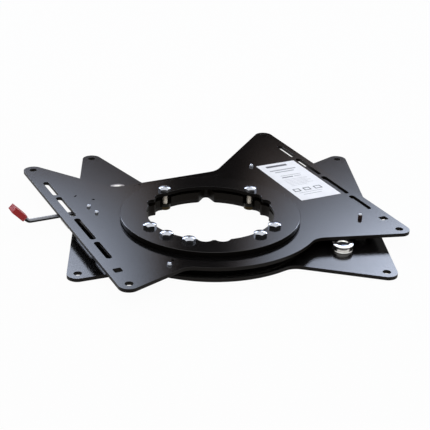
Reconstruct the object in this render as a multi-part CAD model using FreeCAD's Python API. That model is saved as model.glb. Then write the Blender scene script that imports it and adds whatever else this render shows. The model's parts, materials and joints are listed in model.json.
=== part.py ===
"""Swivel seat base for a camper seat: a fixed base plate, a hub with a clamp ring bolted through its
middle, a seat plate that turns between slide rings, and a spring-closed latch worked by a red lever.

Millimetres. The origin is where the swivel axis meets the underside of the base plate. +Z is up, the
base plate's mounting holes lie along X and Y, and the front of the base faces -Y. Everything that
turns with the seat is drawn in the driving position and then turned by SEAT_TURN about the axis."""

import FreeCAD, Part
import math
import os

from FreeCAD import Vector

os.makedirs("parts", exist_ok=True)

# Plates and the stack from the floor up
PLATE_T = 5.0                # both star-shaped plates
PLATE_GAP = 11.0             # between the base plate and the seat plate
SLIDE_T = 1.0                # plastic slide ring under the seat plate
UPPER_SLIDE_T = 2.0          # plastic slide ring over it
CLAMP_T = 5.0                # clamp ring
SEAT_TURN = 22.5             # how far the seat plate stands turned from the driving position
EDGE_BREAK = 0.5             # small chamfer of the clamp ring's rim

BASE_TOP = PLATE_T
SEAT_UNDER = BASE_TOP + PLATE_GAP
SEAT_TOP = SEAT_UNDER + PLATE_T
CLAMP_UNDER = SEAT_TOP + UPPER_SLIDE_T
CLAMP_TOP = CLAMP_UNDER + CLAMP_T

# Outline shared by the two plates
HOLE_SPACING_X = 400.0
HOLE_SPACING_Y = 394.0
PATTERN_X = 23.0             # centre of the hole pattern from the swivel axis
PATTERN_Y = 59.0
MOUNT_HOLE_R = 5.5
TIP_R = 14.25                # round tip of each arm, about its hole
LOBE_R = 154.5               # round front of each plate, about the swivel axis
LOBE_START = 233.4           # where the front edges of the arms run into the lobe, in degrees
LOBE_END = 310.8
WAIST_LEFT = 89.5            # corners of the straight back edge, left and right of the axis
WAIST_RIGHT = 81.3
WAIST_Y = 147.4
WAIST_FILLET = 30.0
LOBE_FILLET = 25.0

HOLE_LEFT = PATTERN_X - HOLE_SPACING_X / 2
HOLE_RIGHT = PATTERN_X + HOLE_SPACING_X / 2
HOLE_FRONT = PATTERN_Y - HOLE_SPACING_Y / 2
HOLE_BACK = PATTERN_Y + HOLE_SPACING_Y / 2

# Hub, bolts and rings
BOLT_CIRCLE_R = 97.5
BOLT_ANGLES = (50.0, 130.0, 210.0, 230.0, 250.0, 310.0, 330.0)
HEAD_TURNS = (5.0, -4.0, 12.0, -6.0, 3.0, -22.0, -26.0)   # each head as it came to rest, in degrees
BOLT_R = 4.95
BOLT_CLEARANCE = 0.3
BOLT_LENGTH = 25.0
HEAD_FLATS = 16.0
HEAD_H = 6.2
HEAD_DOME_R = 18.0
THREAD_GAP = 0.05
BOSS_R = 8.8
BOSS_RISE = 4.0              # boss above the base plate
BOSS_RECESS = 0.3            # its foot ends this far above the underside
HUB_WALL = 6.0
HUB_CLEARANCE = 0.7          # between the bosses and the hub's wall
POCKET_GAP = 2.1             # round each boss in the hub's flange
FLANGE_OUTER_R = 120.0       # hub's flange, which carries part of the lower slide ring
CLAMP_OUTER_R = 126.0
CLAMP_INNER_R = 89.0
CLAMP_PAIRS = (30.0, 150.0, 270.0)   # pairs of round notches round the clamp ring's opening
CLAMP_SPREAD = 7.9           # each notch to either side of its pair's middle, in degrees
CLAMP_NOTCH_R = 11.5
CLAMP_PITCH_R = 83.0
BASE_INNER_R = 91.5
BASE_BACK_DEPTH = 3.3        # the opening's back, between the two rear bolts, beyond its circle
BASE_PAIRS = (33.0, 147.0, 270.0)
BASE_SPREAD = 7.3
BASE_NOTCH_R = 12.0
BASE_PITCH_R = 84.5
CABLE_TIP_R = 5.5            # cable notch: a round end and two flanks that open towards the middle
CABLE_END = 112.2
CABLE_FLARE = 25.0
CABLE_MOUTH_FILLET = 5.0
BUSH_WALL = 1.5
RUN_GAP = 0.08               # running clearance of the bush and the latch
PRESS_GAP = 0.02
RING_GAP = 0.3               # easy clearance between rings
SUPPORT_OUTER_R = 132.0
UPPER_SLIDE_OUTER_R = 125.0

HUB_INNER_R = BOLT_CIRCLE_R + BOSS_R + HUB_CLEARANCE
HUB_OUTER_R = HUB_INNER_R + HUB_WALL
BUSH_INNER_R = HUB_OUTER_R + RUN_GAP
BUSH_OUTER_R = BUSH_INNER_R + BUSH_WALL
SEAT_BORE_R = BUSH_OUTER_R + PRESS_GAP

# Slots and square holes of the seat plate
SLOT_W = 8.5
SLOT_LEFT_INSET = 2.5        # slot rows lie this far inside the hole columns
SLOT_RIGHT_INSET = 0.5
SLOT_SHORT = 52.0
SLOT_LONG = 71.0
SLOT_BRIDGE = 8.0
SLOT_ROW_Y = 69.2            # middle of each row
SQUARE_HOLE = 11.0
SQUARE_Y = -99.7
SQUARE_CORNER_R = 1.5

# Latch studs on the base plate: radius and angle about the swivel axis
FRONT_STUD = (190.4, -22.8)
REAR_STUD = (174.6, 138.8)
STUD_FOOT_R = 13.6
STUD_FOOT_H = 2.0
STUD_NECK_R = 9.5
STUD_NECK_H = 6.0
STUD_TOP_R = 14.0
STUD_TOP_H = 2.0
STUD_RIM = 0.6
STUD_SINK_R = 8.7            # mouth of the countersink
STUD_SCREW_R = 3.95
STUD_SCREW_SINK = 1.2        # screw head below the stud's top
SOCKET_FLATS = 5.0
SOCKET_DEPTH = 2.6

# Latch under the seat plate, in the driving position's frame
PIVOT = (-145.4, 94.8)
SPRING_POST = (-142.1, 71.4)
STOP_PIN = (-111.8, -112.6)
SPARE_SCREW = (139.9, 142.7)
CATCH_SCREW = (192.3, -86.4)
LATCH_T = 4.0
LATCH_LIFT = 1.8             # latch plate above the foot of a stud
LATCH_EDGE_INSET = 0.8       # latch plate inside the seat plate's left edge
JAW_GAP = 0.5                # between a stud's neck and the jaw
LATCH_HUB_R = 17.0
REAR_HOOK_WALL = 6.0
FRONT_HOOK_WALL = 6.5
REAR_TIP = 4.0               # degrees that each hook reaches past its stud
FRONT_TIP = 12.0
REAR_ARM = 51.0              # degrees from each stud round to the back of its hook's arm
FRONT_ARM = 34.0
JAW_MOUTH = 60.0
HOOK_CORNER_R = 2.5
LATCH_BUSH_WALL = 1.5
PIVOT_R = 4.0
PIVOT_HEAD_R = 6.5
PIVOT_HEAD_H = 2.6
PIVOT_SOCKET_FLATS = 4.0
SPARE_SOCKET_FLATS = 3.0
BUSH_PROUD = 0.2             # latch bush below the latch plate
NUT_R = 4.6                  # threaded inserts pressed into the seat plate from below
NUT_WALL = 1.5
NUT_H = 3.5
SCREW_EASE = 0.25            # round a screw in the plate above its insert
SCREW_RISE = 4.0             # domed screw ends above the seat plate
CATCH_SCREW_RISE = 7.5
POST_R = 2.5
STOP_PIN_R = 4.0
STOP_PIN_REACH = 9.0
TOOL_HOLE = (-130.3, 116.9)  # over the rear stud's screw in the driving position
TOOL_HOLE_R = 2.0
PEG_HOLES = ((-102.3, -101.6, 2.2), (-57.0, 139.7, 1.2))
TIE_SLIT_W = 2.2
TIE_SLITS = ((-150.2, 138.4, 6.0, 45.0), (-48.5, 141.5, 6.0, -45.0), (74.0, 129.5, 9.0, 0.0))

# Lever
ROD_R = 3.0
ROD_OFFSET = 8.7             # rod's axis behind the pivot
ROD_LET_IN = 5.0             # end of the rod from the pivot, let into the latch plate
ROD_ELBOW = 85.6             # from the pivot to the bend
ROD_BEND_R = 7.0
ROD_RISE = 47.0              # the grip's slope in degrees
GRIP_START = 8.0             # from the bend's corner, along the slope
GRIP_L = 24.5
GRIP_W = 18.0
GRIP_T = 9.0
GRIP_ROUND = 1.5
GRIP_HEEL_R = 5.5
GRIP_BORE_END = 6.0          # grip left beyond the rod's end
THUMB_DEPTH = 0.9
WELD_GAP = 0.05

# Return spring
WIRE_R = 0.5
COIL_R = 6.55
COIL_CLEAR = 0.05
SPRING_LEG_AT = 22.0         # latch plate's spring hole from the pivot
SPRING_LEG_ANGLE = 205.0
SPRING_HOLE_R = 0.7
LEG_OVERRUN = 4.0

# Fixed catch over the front stud
CATCH_PAD_W = 14.0           # width of the pad that carries it
CATCH_STOP = 8.0            # thickness of the end stop past the stud
CATCH_REACH = 19.0           # prong's length before the stud's centre
CATCH_PAD_GAP = 0.6          # pad beyond the path of the front stud's top
CATCH_INNER_GAP = 1.0        # from the path of the rear stud
CATCH_SCREW_HEAD_R = 6.5
CATCH_CORNER_R = 2.0

# Rotation stop on the base plate
STOP_BLOCK_L = 12.0
STOP_BLOCK_W = 10.0
STOP_BLOCK_H = 8.0
STOP_GAP = 0.3
TRAVEL = 180.0               # from the driving position to facing the rear

# Label stuck on the seat plate
LABEL_LEFT = 146.5
LABEL_W = 67.0
LABEL_FRONT = -2.5
LABEL_L = 141.5
LABEL_T = 0.2

SAME = 1e-3                  # places nearer than this are one
Z = Vector(0, 0, 1)
ORIGIN = Vector(0, 0, 0)


def polar(radius, degrees, z=0.0):
    """A point by its distance and angle about the swivel axis."""
    a = math.radians(degrees)
    return Vector(radius * math.cos(a), radius * math.sin(a), z)


def disc(radius, height, at):
    """An upright cylinder standing at a point."""
    return Part.makeCylinder(radius, height, at, Z)


def ring(inner, outer, height, z):
    """A flat ring about the swivel axis."""
    at = Vector(0, 0, z)
    return disc(outer, height, at).cut(disc(inner, height, at))


def upright(wire, height):
    """A closed flat outline drawn out upwards."""
    return Part.Face(wire).extrude(Vector(0, 0, height))


def turned_profile(points, at, domed=False):
    """A solid of revolution about an upright axis, from (radius, height) points; a dome may top it."""
    corners = [Vector(r, 0, h) for r, h in points]
    edges = [Part.LineSegment(a, b).toShape() for a, b in zip(corners, corners[1:])]
    last = corners[-1]
    if domed:
        crown = Vector(0, 0, last.z + last.x)
        middle = Vector(0, 0, last.z) + Vector(last.x, 0, last.x) * math.sqrt(0.5)
        edges.append(Part.Arc(last, middle, crown).toShape())
        last = crown
    edges.append(Part.LineSegment(last, corners[0]).toShape())
    solid = Part.Face(Part.Wire(edges)).revolve(ORIGIN, Z, 360)
    solid.translate(at)
    return solid


def hexagon(flats, height, at, degrees=0.0):
    """An upright six-sided prism by its width across flats."""
    corner = flats / math.sqrt(3)
    points = [at + polar(corner, degrees + 60 * i) for i in range(7)]
    return upright(Part.makePolygon(points), height)


def slot(length, width, height, at, degrees=0.0):
    """An upright slot with round ends, its length along the given direction."""
    reach = (length - width) / 2
    body = Part.makeBox(2 * reach, width, height, Vector(-reach, -width / 2, 0))
    for side in (-1, 1):
        body = body.fuse(disc(width / 2, height, Vector(side * reach, 0, 0)))
    body = body.removeSplitter()
    body.rotate(ORIGIN, Z, degrees)
    body.translate(at)
    return body


def round_upright(solid, radius, chosen):
    """Rounds the upright edges whose foot point passes the test."""
    edges = []
    for edge in solid.Edges:
        low, high = edge.Vertexes[0].Point, edge.Vertexes[-1].Point
        upright_edge = abs(low.x - high.x) + abs(low.y - high.y) < 1e-6 and abs(low.z - high.z) > 1e-3
        if upright_edge and chosen(low):
            edges.append(edge)
    return solid.makeFillet(radius, edges)


def near(point, target, reach=0.5):
    return math.hypot(point.x - target.x, point.y - target.y) < reach


def touch_angle(hole, corner, radius, side):
    """The angle at which a line from a corner touches a circle, on the side given by a sign."""
    toward = corner - hole
    return math.degrees(math.atan2(toward.y, toward.x) + side * math.acos(radius / toward.Length))


def on_seat(solid):
    """Turns what belongs to the seat from the driving position to where it stands."""
    turned = solid.copy()
    turned.rotate(ORIGIN, Z, SEAT_TURN)
    return turned


def save(node, *solids):
    shape = solids[0] if len(solids) == 1 else Part.makeCompound(list(solids))
    shape.exportStep("parts/" + node + ".step")


# The star-shaped plate

def star_plate(z):
    """One plate: four arms with round tips, a straight back edge and a round lobe at the front."""
    holes = {
        "front_left": Vector(HOLE_LEFT, HOLE_FRONT, z),
        "front_right": Vector(HOLE_RIGHT, HOLE_FRONT, z),
        "back_right": Vector(HOLE_RIGHT, HOLE_BACK, z),
        "back_left": Vector(HOLE_LEFT, HOLE_BACK, z),
    }
    waist_right = Vector(WAIST_RIGHT, WAIST_Y, z)
    waist_left = Vector(-WAIST_LEFT, WAIST_Y, z)
    lobe_left = polar(LOBE_R, LOBE_START, z)
    lobe_right = polar(LOBE_R, LOBE_END, z)

    def tip(name, start, end):
        at = holes[name]
        return at + polar(TIP_R, start), at + polar(TIP_R, (start + end) / 2), at + polar(TIP_R, end)

    tips = [
        tip("front_left", 180, touch_angle(holes["front_left"], lobe_left, TIP_R, -1) + 360),
        tip("front_right", touch_angle(holes["front_right"], lobe_right, TIP_R, 1), 360),
        tip("back_right", 0, touch_angle(holes["back_right"], waist_right, TIP_R, -1) + 360),
        tip("back_left", touch_angle(holes["back_left"], waist_left, TIP_R, 1), 180),
    ]
    lobe = Part.Arc(lobe_left, polar(LOBE_R, (LOBE_START + LOBE_END) / 2, z), lobe_right)
    between = [
        [Part.LineSegment(tips[0][2], lobe_left), lobe, Part.LineSegment(lobe_right, tips[1][0])],
        [Part.LineSegment(tips[1][2], tips[2][0])],
        [Part.LineSegment(tips[2][2], waist_right), Part.LineSegment(waist_right, waist_left),
         Part.LineSegment(waist_left, tips[3][0])],
        [Part.LineSegment(tips[3][2], tips[0][0])],
    ]
    curves = []
    for arc, runs in zip(tips, between):
        curves.append(Part.Arc(*arc))
        curves.extend(runs)
    plate = upright(Part.Wire([curve.toShape() for curve in curves]), PLATE_T)
    plate = round_upright(plate, WAIST_FILLET, lambda p: near(p, waist_left) or near(p, waist_right))
    plate = round_upright(plate, LOBE_FILLET, lambda p: near(p, lobe_left) or near(p, lobe_right))
    for at in holes.values():
        plate = plate.cut(disc(MOUNT_HOLE_R, PLATE_T, at))
    return plate


def bolt_points(z):
    return [polar(BOLT_CIRCLE_R, a, z) for a in BOLT_ANGLES]


def opening(inner, pairs, spread, pitch, notch_r, height, z):
    """A round middle opening with pairs of round notches."""
    tool = disc(inner, height, Vector(0, 0, z))
    for pair in pairs:
        for side in (-1, 1):
            tool = tool.fuse(disc(notch_r, height, polar(pitch, pair + side * spread, z)))
    return tool.removeSplitter()


def sector(centre, radius, start, end, z, height):
    """A pie slice about an upright axis, from one angle round to the next."""
    piece = Part.makeCylinder(radius, height, ORIGIN, Z, end - start)
    piece.rotate(ORIGIN, Z, start)
    piece.translate(Vector(centre[0], centre[1], z))
    return piece


# Base

def base_opening(z, height):
    """The lower opening: notches, a wider back between the two rear bolts, and the cable notch."""
    tool = opening(BASE_INNER_R, BASE_PAIRS, BASE_SPREAD, BASE_PITCH_R, BASE_NOTCH_R, height, z)
    back_r = BASE_INNER_R + BASE_BACK_DEPTH
    tool = tool.fuse(sector((0, 0), back_r, BOLT_ANGLES[0], BOLT_ANGLES[1], z, height))
    tip = Vector(0, CABLE_END - CABLE_TIP_R, z)
    top = tip + polar(CABLE_TIP_R, CABLE_FLARE)
    down = polar(1.0, CABLE_FLARE - 90)
    low = top + down * ((top.y - BASE_INNER_R / 2) / -down.y)
    corners = [top, low, Vector(-low.x, low.y, z), Vector(-top.x, top.y, z), top]
    tool = tool.fuse(upright(Part.makePolygon(corners), height)).fuse(disc(CABLE_TIP_R, height, tip))
    tool = tool.removeSplitter()
    along = top.x * down.x + top.y * down.y
    far = along ** 2 - top.x ** 2 - top.y ** 2 + back_r ** 2
    mouth = top - down * (along + math.sqrt(far))
    return round_upright(tool, CABLE_MOUTH_FILLET, lambda p: near(Vector(abs(p.x), p.y, 0), mouth))


def base_plate():
    plate = star_plate(0.0).cut(base_opening(0.0, PLATE_T))
    for at in bolt_points(0.0):
        plate = plate.cut(disc(BOSS_R + PRESS_GAP, PLATE_T, at))
    for stud in (FRONT_STUD, REAR_STUD):
        plate = plate.cut(disc(STUD_SCREW_R + THREAD_GAP, PLATE_T, polar(*stud)))
    return plate


def threaded_boss(at):
    height = BASE_TOP + BOSS_RISE - BOSS_RECESS
    foot = at + Vector(0, 0, BOSS_RECESS)
    return disc(BOSS_R, height, foot).cut(disc(BOLT_R + THREAD_GAP, height, foot))


def hub_bolt(at, turn):
    """A hexagon bolt with a domed head, its head on the clamp ring."""
    head_at = Vector(at.x, at.y, CLAMP_TOP)
    dome_at = head_at + Vector(0, 0, HEAD_H - HEAD_DOME_R)
    head = hexagon(HEAD_FLATS, HEAD_H, head_at, turn).common(Part.makeSphere(HEAD_DOME_R, dome_at))
    shank = disc(BOLT_R, BOLT_LENGTH, Vector(at.x, at.y, CLAMP_TOP - BOLT_LENGTH))
    return head.fuse(shank)


def hub_ring():
    """A flange with the lower opening's outline, and on it the wall that the seat plate turns on."""
    foot = Vector(0, 0, BASE_TOP)
    flange = disc(FLANGE_OUTER_R, PLATE_GAP - SLIDE_T, foot).fuse(disc(HUB_OUTER_R, PLATE_GAP, foot))
    flange = flange.removeSplitter().cut(base_opening(BASE_TOP, PLATE_GAP))
    for at in bolt_points(BASE_TOP):
        flange = flange.cut(disc(BOSS_R + POCKET_GAP, PLATE_GAP, at))
    wall = ring(HUB_INNER_R, HUB_OUTER_R, CLAMP_UNDER - SEAT_UNDER, SEAT_UNDER)
    return flange.fuse(wall).removeSplitter()


def support_ring():
    return ring(FLANGE_OUTER_R + RING_GAP, SUPPORT_OUTER_R, PLATE_GAP - SLIDE_T, BASE_TOP)


def lower_slide_ring():
    return ring(HUB_OUTER_R + RING_GAP, SUPPORT_OUTER_R, SLIDE_T, SEAT_UNDER - SLIDE_T)


def upper_slide_ring():
    return ring(HUB_OUTER_R + RING_GAP, UPPER_SLIDE_OUTER_R, UPPER_SLIDE_T, SEAT_TOP)


def clamp_ring():
    clamp = disc(CLAMP_OUTER_R, CLAMP_T, Vector(0, 0, CLAMP_UNDER))
    rim = [e for e in clamp.Edges if e.Closed and abs(e.Vertexes[0].Z - CLAMP_TOP) < 1e-6]
    clamp = clamp.makeChamfer(EDGE_BREAK, rim)
    clamp = clamp.cut(opening(CLAMP_INNER_R, CLAMP_PAIRS, CLAMP_SPREAD, CLAMP_PITCH_R, CLAMP_NOTCH_R,
                              CLAMP_T, CLAMP_UNDER))
    for at in bolt_points(CLAMP_UNDER):
        clamp = clamp.cut(disc(BOLT_R + BOLT_CLEARANCE, CLAMP_T, at))
    return clamp


STUD_H = STUD_FOOT_H + STUD_NECK_H + STUD_TOP_H
SINK_DEPTH = STUD_SINK_R - (STUD_SCREW_R + THREAD_GAP)


def latch_stud(place):
    """A turned stud with a groove for the latch plate and a countersunk mouth."""
    neck_top = STUD_FOOT_H + STUD_NECK_H
    bore = STUD_SCREW_R + THREAD_GAP
    return turned_profile([
        (bore, 0.0),
        (STUD_FOOT_R, 0.0),
        (STUD_FOOT_R, STUD_FOOT_H - STUD_RIM),
        (STUD_FOOT_R - STUD_RIM, STUD_FOOT_H),
        (STUD_NECK_R, STUD_FOOT_H),
        (STUD_NECK_R, neck_top),
        (STUD_TOP_R - STUD_RIM, neck_top),
        (STUD_TOP_R, neck_top + STUD_RIM),
        (STUD_TOP_R, STUD_H - STUD_RIM),
        (STUD_TOP_R - STUD_RIM, STUD_H),
        (STUD_SINK_R, STUD_H),
        (bore, STUD_H - SINK_DEPTH),
    ], polar(*place, BASE_TOP))


def stud_screw(place):
    """The countersunk socket screw that holds a stud, its end short of the underside."""
    head_top = STUD_H - STUD_SCREW_SINK
    head_r = STUD_SINK_R - STUD_SCREW_SINK - THREAD_GAP
    screw = turned_profile([
        (0.0, BOSS_RECESS - BASE_TOP),
        (STUD_SCREW_R, BOSS_RECESS - BASE_TOP),
        (STUD_SCREW_R, head_top - head_r + STUD_SCREW_R),
        (head_r, head_top),
        (0.0, head_top),
    ], polar(*place, BASE_TOP))
    return screw.cut(hexagon(SOCKET_FLATS, SOCKET_DEPTH, polar(*place, BASE_TOP + head_top - SOCKET_DEPTH)))


def stop_block():
    """Welded on the base plate where the seat's stop pin meets it at the end of the travel."""
    pin_r = math.hypot(*STOP_PIN)
    pin_angle = math.degrees(math.atan2(STOP_PIN[1], STOP_PIN[0])) + TRAVEL
    half = math.degrees(math.atan((STOP_BLOCK_W / 2 + STOP_PIN_R + STOP_GAP) / pin_r))
    block = Part.makeBox(STOP_BLOCK_L, STOP_BLOCK_W, STOP_BLOCK_H,
                         Vector(pin_r - STOP_BLOCK_L / 2, -STOP_BLOCK_W / 2, BASE_TOP))
    block.rotate(ORIGIN, Z, pin_angle + half)
    return block


# Seat side

NUT_PLACES = (PIVOT, SPRING_POST, STOP_PIN, SPARE_SCREW, CATCH_SCREW)
SCREW_R = NUT_R - NUT_WALL - THREAD_GAP


def seat_plate():
    plate = star_plate(SEAT_UNDER)
    plate = plate.cut(disc(SEAT_BORE_R, PLATE_T, Vector(0, 0, SEAT_UNDER)))
    short_y = SLOT_LONG + 1.5 * SLOT_BRIDGE + SLOT_SHORT / 2
    long_y = (SLOT_BRIDGE + SLOT_LONG) / 2
    rows = ((-short_y, SLOT_SHORT), (-long_y, SLOT_LONG), (long_y, SLOT_LONG), (short_y, SLOT_SHORT))
    for column, inward in ((HOLE_LEFT, SLOT_LEFT_INSET), (HOLE_RIGHT, -SLOT_RIGHT_INSET)):
        for y, length in rows:
            at = Vector(column + inward, SLOT_ROW_Y + y, SEAT_UNDER)
            plate = plate.cut(slot(length, SLOT_W, PLATE_T, at, 90))
        at = Vector(column - SQUARE_HOLE / 2, SQUARE_Y - SQUARE_HOLE / 2, SEAT_UNDER)
        square = Part.makeBox(SQUARE_HOLE, SQUARE_HOLE, PLATE_T, at)
        plate = plate.cut(round_upright(square, SQUARE_CORNER_R, lambda p: True))
    for x, y in NUT_PLACES:
        plate = plate.cut(disc(NUT_R + PRESS_GAP, NUT_H, Vector(x, y, SEAT_UNDER)))
        plate = plate.cut(disc(SCREW_R + SCREW_EASE, PLATE_T, Vector(x, y, SEAT_UNDER)))
    for x, y, radius in PEG_HOLES + ((*TOOL_HOLE, TOOL_HOLE_R),):
        plate = plate.cut(disc(radius, PLATE_T, Vector(x, y, SEAT_UNDER)))
    for x, y, length, degrees in TIE_SLITS:
        plate = plate.cut(slot(length, TIE_SLIT_W, PLATE_T, Vector(x, y, SEAT_UNDER), degrees))
    return plate


def bearing_bush():
    """Plastic bush pressed into the seat plate, running on the hub ring."""
    return ring(BUSH_INNER_R, BUSH_OUTER_R, PLATE_T, SEAT_UNDER)


def press_nut(x, y):
    at = Vector(x, y, SEAT_UNDER)
    return disc(NUT_R, NUT_H, at).cut(disc(NUT_R - NUT_WALL, NUT_H, at))


LATCH_UNDER = BASE_TOP + STUD_FOOT_H + LATCH_LIFT
LATCH_TOP = LATCH_UNDER + LATCH_T
DOME_FOOT = SEAT_TOP + SCREW_RISE - SCREW_R
BUSH_FOOT = LATCH_UNDER - BUSH_PROUD
LATCH_BUSH_R = PIVOT_R + THREAD_GAP + LATCH_BUSH_WALL


def pivot_bolt():
    """Shoulder bolt up through the latch into its threaded insert."""
    bolt = turned_profile([
        (0.0, BUSH_FOOT - PIVOT_HEAD_H),
        (PIVOT_HEAD_R, BUSH_FOOT - PIVOT_HEAD_H),
        (PIVOT_HEAD_R, BUSH_FOOT),
        (PIVOT_R, BUSH_FOOT),
        (PIVOT_R, SEAT_UNDER),
        (SCREW_R, SEAT_UNDER),
        (SCREW_R, DOME_FOOT),
    ], Vector(*PIVOT, 0), domed=True)
    return bolt.cut(hexagon(PIVOT_SOCKET_FLATS, PIVOT_HEAD_H / 2, Vector(*PIVOT, BUSH_FOOT - PIVOT_HEAD_H)))


def pivot_bush():
    at = Vector(*PIVOT, BUSH_FOOT)
    height = SEAT_UNDER - BUSH_FOOT
    return disc(LATCH_BUSH_R, height, at).cut(disc(PIVOT_R + THREAD_GAP, height, at))


def stepped_pin(place, radius, foot):
    """A pin hanging below the seat plate, its own thread up through a threaded insert."""
    return turned_profile([
        (0.0, foot), (radius, foot), (radius, SEAT_UNDER), (SCREW_R, SEAT_UNDER), (SCREW_R, DOME_FOOT),
    ], Vector(*place, 0), domed=True)


def spare_screw():
    """A headless screw left in the threaded insert that holds nothing else."""
    foot = Vector(*SPARE_SCREW, 0)
    screw = turned_profile([(0.0, SEAT_UNDER), (SCREW_R, SEAT_UNDER), (SCREW_R, DOME_FOOT)], foot, domed=True)
    return screw.cut(hexagon(SPARE_SOCKET_FLATS, NUT_H / 2, foot + Vector(0, 0, SEAT_UNDER)))


def stud_in_latch(place, turn):
    """Distance and angle of a stud from the latch's pivot when the seat has turned that far."""
    at = polar(place[0], place[1] - turn)
    dx, dy = at.x - PIVOT[0], at.y - PIVOT[1]
    return math.hypot(dx, dy), math.degrees(math.atan2(dy, dx)) % 360


def hook(stud, wall, tip_angle, arm_angle):
    """One hooked arm: a slice past the stud, with the stud's way in and out swept from it."""
    distance, angle = stud
    clear = STUD_NECK_R + JAW_GAP
    arm = sector(PIVOT, distance + clear + wall, angle - arm_angle, angle + tip_angle, LATCH_UNDER, LATCH_T)
    way = sector(PIVOT, distance + clear, angle, angle + JAW_MOUTH, LATCH_UNDER, LATCH_T)
    way = way.cut(disc(distance - clear, LATCH_T, Vector(*PIVOT, LATCH_UNDER)))
    way = way.fuse(disc(clear, LATCH_T, Vector(*PIVOT, LATCH_UNDER) + polar(distance, angle)))
    return arm, way, distance + clear + wall


def latch_plate():
    """Two hooks on one pivot: the rear stud's in the driving position, the front stud's when turned."""
    centre = Vector(*PIVOT, LATCH_UNDER)
    rear_arm, rear_way, rear_r = hook(stud_in_latch(REAR_STUD, 0.0), REAR_HOOK_WALL, REAR_TIP, REAR_ARM)
    front_arm, front_way, front_r = hook(stud_in_latch(FRONT_STUD, TRAVEL), FRONT_HOOK_WALL, FRONT_TIP,
                                         FRONT_ARM)
    latch = disc(LATCH_HUB_R, LATCH_T, centre).fuse(rear_arm).fuse(front_arm)
    latch = latch.removeSplitter().cut(rear_way).cut(front_way)
    edge = HOLE_LEFT - TIP_R + LATCH_EDGE_INSET
    beyond = Vector(edge - 2 * front_r, centre.y - front_r, LATCH_UNDER)
    latch = latch.cut(Part.makeBox(2 * front_r, 2 * front_r, LATCH_T, beyond))

    def outer_corner(p):
        reach = math.hypot(p.x - PIVOT[0], p.y - PIVOT[1])
        return min(abs(reach - rear_r), abs(reach - front_r)) < SAME

    latch = round_upright(latch, HOOK_CORNER_R, outer_corner)
    latch = latch.cut(disc(LATCH_BUSH_R + RUN_GAP, LATCH_T, centre))
    let_in = Part.makeBox(front_r, 2 * (ROD_R + WELD_GAP), LATCH_T,
                          Vector(PIVOT[0] - ROD_LET_IN - front_r,
                                 PIVOT[1] + ROD_OFFSET - ROD_R - WELD_GAP, LATCH_UNDER))
    latch = latch.cut(let_in)
    return latch.cut(disc(SPRING_HOLE_R, LATCH_T, centre + polar(SPRING_LEG_AT, SPRING_LEG_ANGLE)))


ROD_Z = LATCH_UNDER + LATCH_T / 2
ROD_Y = PIVOT[1] + ROD_OFFSET
ELBOW = Vector(PIVOT[0] - ROD_ELBOW, ROD_Y, ROD_Z)
SLOPE = Vector(-math.cos(math.radians(ROD_RISE)), 0, math.sin(math.radians(ROD_RISE)))


def lever_rod():
    """A round rod, straight out from the latch and bent up into the grip."""
    cut_back = ROD_BEND_R * math.tan(math.radians(ROD_RISE) / 2)
    start = Vector(PIVOT[0] - ROD_LET_IN, ROD_Y, ROD_Z)
    bend_in = ELBOW + Vector(cut_back, 0, 0)
    bend_out = ELBOW + SLOPE * cut_back
    end = ELBOW + SLOPE * (GRIP_START + GRIP_L - GRIP_BORE_END)
    half = math.radians(ROD_RISE) / 2
    middle = bend_in + Vector(-ROD_BEND_R * math.sin(half), 0, ROD_BEND_R * (1 - math.cos(half)))
    path = Part.Wire([
        Part.LineSegment(start, bend_in).toShape(),
        Part.Arc(bend_in, middle, bend_out).toShape(),
        Part.LineSegment(bend_out, end).toShape(),
    ])
    section = Part.Wire([Part.makeCircle(ROD_R, start, Vector(-1, 0, 0))])
    return path.makePipeShell([section], True, False)


def lever_grip():
    """A moulded grip: a soft-edged block with a narrowed heel and a shallow thumb hollow."""
    block = Part.makeBox(GRIP_L, GRIP_W, GRIP_T, Vector(0, -GRIP_W / 2, -GRIP_T / 2))
    block = round_upright(block, GRIP_HEEL_R, lambda p: p.x < GRIP_L / 2)
    block = round_upright(block, GRIP_ROUND, lambda p: p.x > GRIP_L - 1e-3)
    flat = [e for e in block.Edges if abs(e.Vertexes[0].Z - e.Vertexes[-1].Z) < 1e-6]
    block = block.makeFillet(GRIP_ROUND, flat)
    hollow_r = (GRIP_L / 2) ** 2 / (2 * THUMB_DEPTH)
    hollow = Part.makeCylinder(hollow_r, GRIP_W, Vector(GRIP_L / 2, -GRIP_W / 2, GRIP_T / 2 + hollow_r
                                                        - THUMB_DEPTH), Vector(0, 1, 0))
    keep = Part.makeBox(GRIP_L, GRIP_W - 4 * GRIP_ROUND, 2 * GRIP_T,
                        Vector(0, 2 * GRIP_ROUND - GRIP_W / 2, 0))
    block = block.cut(hollow.common(keep))
    bore_l = GRIP_L - GRIP_BORE_END
    block = block.cut(Part.makeCylinder(ROD_R + PRESS_GAP, bore_l, ORIGIN, Vector(1, 0, 0)))
    block.rotate(ORIGIN, Z, 180)
    block.rotate(ORIGIN, Vector(0, 1, 0), ROD_RISE)
    block.translate(ELBOW + SLOPE * GRIP_START)
    return block


def wire_run(start, end):
    run = end - start
    body = Part.makeCylinder(WIRE_R, run.Length, start, run)
    return body.fuse(Part.makeSphere(WIRE_R, start))


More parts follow.
